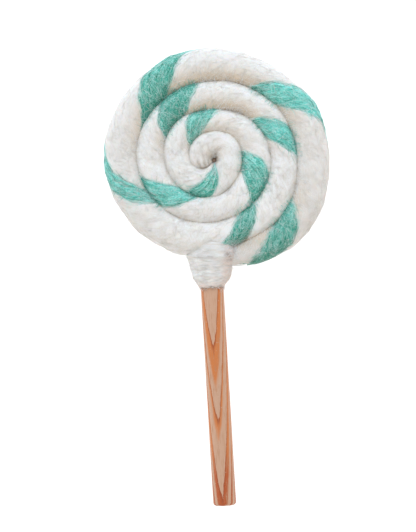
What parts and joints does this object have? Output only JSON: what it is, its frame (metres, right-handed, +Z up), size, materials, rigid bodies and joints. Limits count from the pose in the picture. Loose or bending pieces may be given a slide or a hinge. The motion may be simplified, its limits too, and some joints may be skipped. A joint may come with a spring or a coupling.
{
  "type": "felted wool swirl lollipop",
  "caption": "Felted wool copy of a swirl lollipop: a white rope with a mint strand twisted in, wound flat, on a round wooden stick.",
  "frame": {"origin": "on the surface it lies on, under the middle of the whole lollipop", "axes": "+Z up out of the shown side, +Y along the stick towards the disc"},
  "size_m": [0.0782, 0.1598, 0.0111],
  "materials": {
    "wool_white": "felted wool, white",
    "wool_mint": "felted wool, mint green",
    "wool_collar": "wound wool, white",
    "wood": "smooth, warm brown grain"
  },
  "bodies": {
    "root": {"rope_white": "wool_white", "rope_mint": "wool_mint", "collar": "wool_collar", "stick": "wood"}
  },
  "joints": []
}
